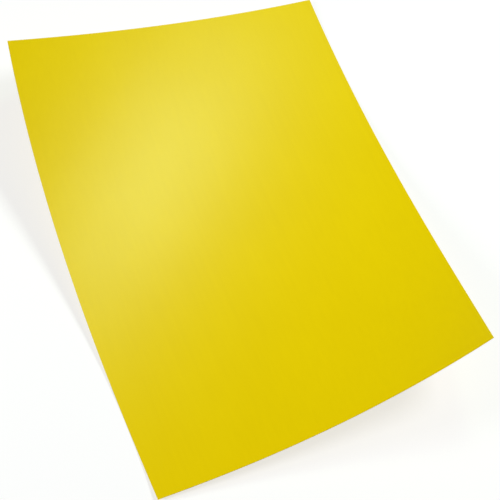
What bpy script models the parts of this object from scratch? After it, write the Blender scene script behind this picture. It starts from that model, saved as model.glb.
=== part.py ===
"""Welding curtain sheet: one rectangle of flexible film, cut square, lying in a gentle curl.

Laid flat, the sheet is on the XY plane with its short edges along X. The curl is a piece of a
cylinder whose axis runs slantwise across the sheet, so that two opposite corners lift and the
other two stay low. The curled sheet rests on the flat strip along its middle, at Z = 0.
"""

import math

import bmesh
import bpy
from mathutils import Matrix, Vector

# Driving dimensions, in metres.
SHEET_WIDTH = 1.40
SHEET_LENGTH = 1.98
SHEET_THICKNESS = 0.002
CURL_RADIUS = 1.844
# Angle from the short edge, towards the near right corner, to the direction that curls.
CURL_SLANT = math.radians(46.9)

# The curl is a row of flat strips. Their number is odd, so one strip lies flat on the floor.
STRIP_COUNT = 61
CUT_TOLERANCE = 1e-6

FILM_YELLOW = (0.745, 0.571, 0.006, 1.0)
FILM_ROUGHNESS = 0.4
FILM_METALLIC = 0.0

# Worked out from the dimensions above.
CURL_DIRECTION = Vector((math.cos(CURL_SLANT), -math.sin(CURL_SLANT), 0.0))
CURL_AXIS = Vector((math.sin(CURL_SLANT), math.cos(CURL_SLANT), 0.0))
UP = Vector((0.0, 0.0, 1.0))
CURL_SPAN = SHEET_WIDTH * abs(CURL_DIRECTION.x) + SHEET_LENGTH * abs(CURL_DIRECTION.y)
STRIP_WIDTH = CURL_SPAN / STRIP_COUNT
STRIP_RISE = CURL_RADIUS * (1.0 - math.cos(STRIP_WIDTH / 2.0 / CURL_RADIUS))


def clear_scene():
    """Removes every object of the open scene."""
    for obj in list(bpy.data.objects):
        bpy.data.objects.remove(obj, do_unlink=True)


def make_collection(name):
    """A collection for the object's parts, linked to the scene."""
    collection = bpy.data.collections.new(name)
    bpy.context.scene.collection.children.link(collection)
    return collection


def make_yellow_film():
    """Satin yellow film."""
    material = bpy.data.materials.new("yellow_film")
    material.use_nodes = True
    shader = material.node_tree.nodes["Principled BSDF"]
    shader.inputs["Base Color"].default_value = FILM_YELLOW
    shader.inputs["Roughness"].default_value = FILM_ROUGHNESS
    shader.inputs["Metallic"].default_value = FILM_METALLIC
    return material


def add_flat_rectangle(mesh):
    """The sheet as it was cut, flat and without thickness."""
    cut_size = Matrix.Diagonal((SHEET_WIDTH, SHEET_LENGTH, 1.0, 1.0))
    bmesh.ops.create_grid(mesh, x_segments=1, y_segments=1, size=0.5, matrix=cut_size)


def split_into_strips(mesh):
    """Cuts the flat sheet into equal strips that run along the curl's axis."""
    for number in range(1, STRIP_COUNT):
        offset = number * STRIP_WIDTH - CURL_SPAN / 2.0
        bmesh.ops.bisect_plane(
            mesh,
            geom=mesh.verts[:] + mesh.edges[:] + mesh.faces[:],
            dist=CUT_TOLERANCE,
            plane_co=CURL_DIRECTION * offset,
            plane_no=CURL_DIRECTION,
        )


def curled(flat):
    """Where a point of the flat sheet lies on the cylinder, which touches Z = 0 at its middle."""
    angle = flat.dot(CURL_DIRECTION) / CURL_RADIUS
    across = CURL_DIRECTION * CURL_RADIUS * math.sin(angle)
    along = CURL_AXIS * flat.dot(CURL_AXIS)
    lift = UP * CURL_RADIUS * (1.0 - math.cos(angle))
    return across + along + lift


def keep_cut_edges_sharp(mesh):
    """Smooth shading along the curl, with a crisp line at the cut edges."""
    for face in mesh.faces:
        face.smooth = True
    for edge in mesh.edges:
        edge.smooth = not edge.is_boundary


def add_thickness(sheet):
    """Gives the sheet its thickness, half on each side of its middle surface."""
    shell = sheet.modifiers.new("thickness", "SOLIDIFY")
    shell.thickness = SHEET_THICKNESS
    shell.offset = 0.0
    shell.use_even_offset = True
    shell.use_quality_normals = True


def make_curtain_sheet(collection, material):
    """The curled sheet, standing on its lowest strip."""
    mesh = bmesh.new()
    add_flat_rectangle(mesh)
    split_into_strips(mesh)
    for vertex in mesh.verts:
        vertex.co = curled(vertex.co)
    bmesh.ops.recalc_face_normals(mesh, faces=mesh.faces)
    keep_cut_edges_sharp(mesh)

    data = bpy.data.meshes.new("curtain_sheet")
    mesh.to_mesh(data)
    mesh.free()
    data.materials.append(material)

    sheet = bpy.data.objects.new("curtain_sheet", data)
    sheet.location = UP * (SHEET_THICKNESS / 2.0 - STRIP_RISE)
    collection.objects.link(sheet)
    add_thickness(sheet)
    return sheet


def main():
    clear_scene()
    parts = make_collection("welding_curtain_sheet")
    make_curtain_sheet(parts, make_yellow_film())


main()
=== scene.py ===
"""The looks of the welding curtain sheet: one satin yellow film, curled slantwise, on a pale floor."""

import math

import bmesh
import bpy
from mathutils import Matrix, Vector


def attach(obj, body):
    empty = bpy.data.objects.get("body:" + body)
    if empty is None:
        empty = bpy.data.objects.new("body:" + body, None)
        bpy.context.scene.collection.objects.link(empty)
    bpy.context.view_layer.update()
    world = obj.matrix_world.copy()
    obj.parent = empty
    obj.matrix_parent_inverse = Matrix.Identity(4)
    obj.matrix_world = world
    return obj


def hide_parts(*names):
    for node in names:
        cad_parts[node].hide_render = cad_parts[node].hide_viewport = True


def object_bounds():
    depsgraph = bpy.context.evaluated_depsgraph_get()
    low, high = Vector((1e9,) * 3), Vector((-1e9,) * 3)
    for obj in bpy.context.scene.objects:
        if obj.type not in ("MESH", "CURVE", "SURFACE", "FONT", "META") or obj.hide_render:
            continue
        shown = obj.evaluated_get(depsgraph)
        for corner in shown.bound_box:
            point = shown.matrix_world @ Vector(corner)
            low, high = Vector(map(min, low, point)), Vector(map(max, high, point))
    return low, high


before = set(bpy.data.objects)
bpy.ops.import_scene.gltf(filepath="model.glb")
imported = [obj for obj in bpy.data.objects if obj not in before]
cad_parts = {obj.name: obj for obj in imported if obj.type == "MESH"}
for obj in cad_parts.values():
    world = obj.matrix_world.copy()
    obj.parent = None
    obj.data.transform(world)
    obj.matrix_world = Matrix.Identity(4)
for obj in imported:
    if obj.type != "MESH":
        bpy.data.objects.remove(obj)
cad_low, cad_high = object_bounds()

NODE = "curtain_sheet"
BODY = "root"
UP = Vector((0.0, 0.0, 1.0))

# The sheet as the CAD model has it, in metres.
SHEET_WIDTH = 1.40
SHEET_LENGTH = 1.98
SHEET_THICKNESS = 0.002
CURL_RADIUS = 1.844
# Angle from the short edge, towards the near right corner, to the direction that curls.
CURL_SLANT = math.radians(46.9)
CURL_DIRECTION = Vector((math.cos(CURL_SLANT), -math.sin(CURL_SLANT), 0.0))
CURL_AXIS = Vector((math.sin(CURL_SLANT), math.cos(CURL_SLANT), 0.0))

# The mesh of the film, in metres: its cells, and its cut edges with their rounding.
CELL = 0.015
CUT_EDGE_BAND = 0.0006
CUT_EDGE_ROUNDING = 0.0002
CUT_EDGE_STEPS = 2
CUT_EDGE_MATERIAL = 1
CUT_TOLERANCE = 1e-6

# How far the film strays from a true cylinder: (height, wavelength, heading), in metres and degrees.
RIPPLES = ((0.00012, 0.43, 12.0), (0.00010, 0.31, 68.0), (0.00006, 0.19, 131.0))
# Where the ripples start and where they are full, measured from the line that rests on the floor.
RIPPLE_START = 0.10
RIPPLE_FULL = 0.45

# The film's surface: noises in waves a metre, bumps in metres, and colours.
PEEL_WAVES = 140.0
PEEL_DEPTH = 0.0002
GRAIN_WAVES = 600.0
GRAIN_DEPTH = 0.00004
MOTTLE_WAVES = 3.0
STREAK_WAVES = 60.0
STREAK_STRETCH = (1.0, 0.02, 1.0)
# How much the mottling, the streaks and the grain each lift the colour from deep to light.
MOTTLE_SHARE = 0.40
STREAK_SHARE = 0.25
SPECKLE_SHARE = 0.35
FILM_DEEP = (0.738, 0.535, 0.0002, 1.0)
FILM_LIGHT = (0.782, 0.576, 0.0002, 1.0)
FILM_SMOOTHEST = 0.30
FILM_ROUGHEST = 0.34
GRAIN_ROUGHNESS = 0.04

# The cut edge's surface, in the same units.
KNIFE_WAVES = 1800.0
KNIFE_DEPTH = 0.00003
KNIFE_STRETCH = (1.0, 1.0, 0.15)
# Painted shade: both edge colours are deeper than the film's, standing in for light piped along the
# film's thickness.
EDGE_PAINTED_SHADE_DEEP = (0.66, 0.47, 0.002, 1.0)
EDGE_PAINTED_SHADE_LIGHT = (0.74, 0.55, 0.004, 1.0)
EDGE_SMOOTHEST = 0.45
EDGE_ROUGHEST = 0.60

# Most of a noise lies between these two values.
NOISE_LOW = 0.3
NOISE_HIGH = 0.7

# The camera, in degrees, metres and millimetres.
LOOK_AZIMUTH = 27.97
LOOK_ELEVATION = 57.66
LOOK_ROLL = 8.034
LOOK_DISTANCE = 11.558
LOOK_AT = Vector((0.0265, -0.0668, 0.0))
LENS_MM = 211.5
SENSOR_MM = 36.0

# The floor and the room.
FLOOR_GAP = 0.0002
FLOOR_RADIUS = 45.0
FLOOR_SIDES = 96
FLOOR_WHITE = 0.27
FLOOR_ROUGHNESS = 0.9
FLOOR_GLOW = 0.71

# The lights: (place, radiance) of each panel, and the softbox, which is tinted green.
PANELS = ((Vector((-5.0, 1.2, 3.5)), 11.55), (Vector((5.0, -1.1, 6.9)), 29.9))
PANEL_SIZE = 2.5
SOFTBOX_PLACE = Vector((1.90, 1.26, 3.78))
SOFTBOX_SIZE = 1.0
SOFTBOX_RADIANCE = 13.2
SOFTBOX_COLOUR = (0.662, 1.0, 0.639)


def curled(flat):
    """Where a point of the flat sheet's middle surface lies once the sheet is curled."""
    angle = flat.dot(CURL_DIRECTION) / CURL_RADIUS
    across = CURL_DIRECTION * CURL_RADIUS * math.sin(angle)
    along = CURL_AXIS * flat.dot(CURL_AXIS)
    lift = UP * CURL_RADIUS * (1.0 - math.cos(angle))
    return across + along + lift


def facing(flat):
    """The direction that the hollow side faces at a point of the flat sheet."""
    angle = flat.dot(CURL_DIRECTION) / CURL_RADIUS
    return UP * math.cos(angle) - CURL_DIRECTION * math.sin(angle)


def ripple(flat):
    """The film's slight waves, which die out where it touches the floor."""
    off_floor = (abs(flat.dot(CURL_DIRECTION)) - RIPPLE_START) / (RIPPLE_FULL - RIPPLE_START)
    off_floor = min(1.0, max(0.0, off_floor))
    height = 0.0
    for size, wavelength, heading in RIPPLES:
        turn = math.radians(heading)
        travelled = flat.x * math.cos(turn) + flat.y * math.sin(turn)
        height += size * math.sin(2.0 * math.pi * travelled / wavelength)
    return height * off_floor


def add_flat_film(mesh):
    """The film as cut, in nearly square cells with a narrow band along each cut edge."""
    columns = round(SHEET_WIDTH / CELL)
    rows = round(SHEET_LENGTH / CELL)
    size = Matrix.Diagonal((SHEET_WIDTH, SHEET_LENGTH, 1.0, 1.0))
    bmesh.ops.create_grid(mesh, x_segments=columns, y_segments=rows, size=0.5, matrix=size)
    for way, half in ((Vector((1, 0, 0)), SHEET_WIDTH / 2), (Vector((0, 1, 0)), SHEET_LENGTH / 2)):
        for side in (-1, 1):
            bmesh.ops.bisect_plane(
                mesh,
                geom=mesh.verts[:] + mesh.edges[:] + mesh.faces[:],
                dist=CUT_TOLERANCE,
                plane_co=way * side * (half - CUT_EDGE_BAND),
                plane_no=way,
            )


def add_thickness(film):
    """Gives the film its thickness, half on each side of its middle surface."""
    shell = film.modifiers.new("thickness", "SOLIDIFY")
    shell.thickness = SHEET_THICKNESS
    shell.offset = 0.0
    shell.use_even_offset = True
    shell.material_offset_rim = CUT_EDGE_MATERIAL


def round_cut_edges(film):
    """Takes the sharpness off the corners of the cut edges."""
    rounding = film.modifiers.new("cut_edges", "BEVEL")
    rounding.width = CUT_EDGE_ROUNDING
    rounding.segments = CUT_EDGE_STEPS
    rounding.limit_method = "ANGLE"
    rounding.material = CUT_EDGE_MATERIAL


def make_film(surface, cut_edge):
    """The curled film, with its real thickness and lightly rounded cut edges."""
    mesh = bmesh.new()
    add_flat_film(mesh)
    for vertex in mesh.verts:
        flat = vertex.co.copy()
        vertex.co = curled(flat) + facing(flat) * ripple(flat)
    for face in mesh.faces:
        face.smooth = True
    bmesh.ops.recalc_face_normals(mesh, faces=mesh.faces)
    data = bpy.data.meshes.new("film_sheet")
    mesh.to_mesh(data)
    mesh.free()
    data.materials.append(surface)
    data.materials.append(cut_edge)

    film = bpy.data.objects.new("film_sheet", data)
    film.location = UP * (cad_low.z + SHEET_THICKNESS / 2.0)
    bpy.context.scene.collection.objects.link(film)
    add_thickness(film)
    round_cut_edges(film)
    return film


def new_material(name):
    """A Principled material, with its node tree, shader and object coordinates."""
    material = bpy.data.materials.new(name)
    material.use_nodes = True
    tree = material.node_tree
    shader = tree.nodes["Principled BSDF"]
    place = tree.nodes.new("ShaderNodeTexCoord").outputs["Object"]
    return material, tree, shader, place


def noise(tree, place, per_metre, detail=2.0, stretch=(1.0, 1.0, 1.0)):
    """Soft noise of so many waves a metre, stretched where a factor is under 1."""
    mapping = tree.nodes.new("ShaderNodeMapping")
    mapping.inputs["Scale"].default_value = stretch
    tree.links.new(place, mapping.inputs["Vector"])
    texture = tree.nodes.new("ShaderNodeTexNoise")
    texture.inputs["Scale"].default_value = per_metre
    texture.inputs["Detail"].default_value = detail
    tree.links.new(mapping.outputs["Vector"], texture.inputs["Vector"])
    return texture.outputs["Fac"]


def spread(tree, value, low, high):
    """Carries most of a noise onto the range from low to high, and holds the rest at its ends."""
    node = tree.nodes.new("ShaderNodeMapRange")
    node.inputs["From Min"].default_value = NOISE_LOW
    node.inputs["From Max"].default_value = NOISE_HIGH
    node.inputs["To Min"].default_value = low
    node.inputs["To Max"].default_value = high
    tree.links.new(value, node.inputs["Value"])
    return node.outputs["Result"]


def added(tree, first, second):
    """The sum of two values."""
    node = tree.nodes.new("ShaderNodeMath")
    node.operation = "ADD"
    tree.links.new(first, node.inputs[0])
    tree.links.new(second, node.inputs[1])
    return node.outputs["Value"]


def tinted(tree, value, low_colour, high_colour):
    """A colour between two, by a value from 0 to 1."""
    node = tree.nodes.new("ShaderNodeMix")
    node.data_type = "RGBA"
    node.inputs["A"].default_value = low_colour
    node.inputs["B"].default_value = high_colour
    tree.links.new(value, node.inputs["Factor"])
    return node.outputs["Result"]


def bumped(tree, height, depth, under=None):
    """A bump as deep as depth, in metres, on top of another bump."""
    node = tree.nodes.new("ShaderNodeBump")
    node.inputs["Distance"].default_value = depth
    tree.links.new(height, node.inputs["Height"])
    if under is not None:
        tree.links.new(under, node.inputs["Normal"])
    return node.outputs["Normal"]


def make_film_surface():
    """Satin yellow film: faint mottling, streaks along the roll, soft peel and a fine grain."""
    material, tree, shader, place = new_material("yellow_film")
    peel = noise(tree, place, PEEL_WAVES, detail=1.0)
    grain = noise(tree, place, GRAIN_WAVES)

    mottle = spread(tree, noise(tree, place, MOTTLE_WAVES, detail=3.0), 0.0, MOTTLE_SHARE)
    lines = noise(tree, place, STREAK_WAVES, stretch=STREAK_STRETCH)
    streaks = spread(tree, lines, 0.0, STREAK_SHARE)
    speckle = spread(tree, grain, 0.0, SPECKLE_SHARE)
    lift = added(tree, added(tree, mottle, streaks), speckle)
    tree.links.new(tinted(tree, lift, FILM_DEEP, FILM_LIGHT), shader.inputs["Base Color"])

    satin = spread(tree, peel, FILM_SMOOTHEST, FILM_ROUGHEST)
    roughness = added(tree, satin, spread(tree, grain, 0.0, GRAIN_ROUGHNESS))
    tree.links.new(roughness, shader.inputs["Roughness"])
    relief = bumped(tree, grain, GRAIN_DEPTH, under=bumped(tree, peel, PEEL_DEPTH))
    tree.links.new(relief, shader.inputs["Normal"])
    return material


def make_cut_edge():
    """The film's cut edge: duller, with knife marks across it, and deeper in colour by painted shade.
    """
    material, tree, shader, place = new_material("film_cut_edge_painted_shade")
    marks = noise(tree, place, KNIFE_WAVES, stretch=KNIFE_STRETCH)
    # Painted shade: the edge is deeper in colour than the film, varied by its knife marks.
    tree.links.new(tinted(tree, marks, EDGE_PAINTED_SHADE_DEEP, EDGE_PAINTED_SHADE_LIGHT), shader.inputs["Base Color"])
    tree.links.new(spread(tree, marks, EDGE_SMOOTHEST, EDGE_ROUGHEST), shader.inputs["Roughness"])
    tree.links.new(bumped(tree, marks, KNIFE_DEPTH), shader.inputs["Normal"])
    return material


def make_floor():
    """A plain, pale floor just under the sheet. Its glow keeps shadows faint, and no sheen shows it."""
    bpy.ops.mesh.primitive_circle_add(
        vertices=FLOOR_SIDES,
        radius=FLOOR_RADIUS,
        fill_type="NGON",
        location=UP * (cad_low.z - FLOOR_GAP),
    )
    floor = bpy.context.object
    floor.name = "floor"
    material = bpy.data.materials.new("pale_floor")
    material.use_nodes = True
    shader = material.node_tree.nodes["Principled BSDF"]
    shader.inputs["Base Color"].default_value = (FLOOR_WHITE, FLOOR_WHITE, FLOOR_WHITE, 1.0)
    shader.inputs["Roughness"].default_value = FLOOR_ROUGHNESS
    shader.inputs["Specular IOR Level"].default_value = 0.0
    shader.inputs["Emission Color"].default_value = (1.0, 1.0, 1.0, 1.0)
    shader.inputs["Emission Strength"].default_value = FLOOR_GLOW
    floor.data.materials.append(material)
    floor.visible_glossy = False


def make_area_light(name, place, aim, size, radiance):
    """A square area light with a given radiance, turned towards a point and not seen itself."""
    lamp = bpy.data.lights.new(name, "AREA")
    lamp.shape = "SQUARE"
    lamp.size = size
    lamp.energy = radiance * math.pi * size * size
    light = bpy.data.objects.new(name, lamp)
    light.location = place
    light.rotation_mode = "QUATERNION"
    light.rotation_quaternion = (aim - place).to_track_quat("-Z", "Y")
    light.visible_camera = False
    bpy.context.scene.collection.objects.link(light)
    return light


def make_lights():
    """Two large panels for even light that gives no sheen, and a smaller softbox that gives it."""
    middle = UP * cad_low.z
    for number, (place, radiance) in enumerate(PANELS, start=1):
        panel = make_area_light(f"panel_{number}", place, middle, PANEL_SIZE, radiance)
        panel.visible_glossy = False
        # Without this a little of the panel would still show in the sheen.
        panel.data.cycles.use_multiple_importance_sampling = False
    softbox = make_area_light("softbox", SOFTBOX_PLACE, middle, SOFTBOX_SIZE, SOFTBOX_RADIANCE)
    softbox.data.color = SOFTBOX_COLOUR


def make_room():
    """A plain pale room as bright as the far floor, so no horizon shows; it lights nothing."""
    room = bpy.data.worlds.new("room")
    room.use_nodes = True
    shader = room.node_tree.nodes["Background"]
    shader.inputs["Color"].default_value = (FLOOR_GLOW, FLOOR_GLOW, FLOOR_GLOW, 1.0)
    room.cycles_visibility.diffuse = False
    room.cycles_visibility.glossy = False
    room.cycles_visibility.transmission = False
    room.cycles.sampling_method = "NONE"
    bpy.context.scene.world = room


def make_camera():
    """A long lens from above the near left, rolled a little."""
    azimuth = math.radians(LOOK_AZIMUTH)
    elevation = math.radians(LOOK_ELEVATION)
    back = Vector((
        -math.sin(azimuth) * math.cos(elevation),
        -math.cos(azimuth) * math.cos(elevation),
        math.sin(elevation),
    ))
    data = bpy.data.cameras.new("camera")
    data.lens = LENS_MM
    data.sensor_width = SENSOR_MM
    camera = bpy.data.objects.new("camera", data)
    camera.location = LOOK_AT + back * LOOK_DISTANCE
    camera.rotation_mode = "QUATERNION"
    level = (-back).to_track_quat("-Z", "Y").to_matrix()
    rolled = level @ Matrix.Rotation(math.radians(LOOK_ROLL), 3, "Z")
    camera.rotation_quaternion = rolled.to_quaternion()
    bpy.context.scene.collection.objects.link(camera)
    bpy.context.scene.camera = camera


make_camera()
make_floor()
make_lights()
make_room()
bpy.context.scene.view_settings.view_transform = "Standard"

film = make_film(make_film_surface(), make_cut_edge())
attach(film, BODY)
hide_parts(NODE)
